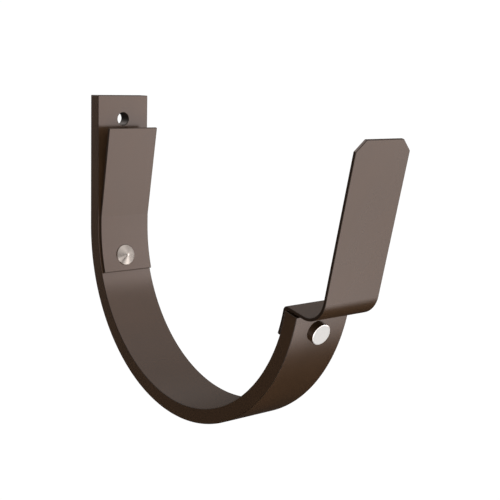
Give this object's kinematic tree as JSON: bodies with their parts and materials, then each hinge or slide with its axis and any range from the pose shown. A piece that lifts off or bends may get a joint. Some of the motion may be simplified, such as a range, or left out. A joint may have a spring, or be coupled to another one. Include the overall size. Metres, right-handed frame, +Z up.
{
  "type": "half-round gutter bracket",
  "caption": "Fascia bracket for a half-round gutter: a flat bar bent to a hook, with riveted sheet clips that fold over the gutter's rear edge and its front bead.",
  "frame": {"origin": "centre of the fixing hole on the back face, which lies on the board", "axes": "+X points away from the board towards the gutter's front bead, +Y along the gutter, +Z up"},
  "size_m": [0.1612, 0.025, 0.1245],
  "materials": {
    "brown_coat": "half glossy dark brown powder coat",
    "bare_steel": "bare rivet steel"
  },
  "bodies": {
    "root": {"strap": "brown_coat", "rear_clip": "brown_coat", "front_clip": "brown_coat", "rear_rivet": "bare_steel", "front_rivet": "bare_steel"}
  },
  "joints": []
}
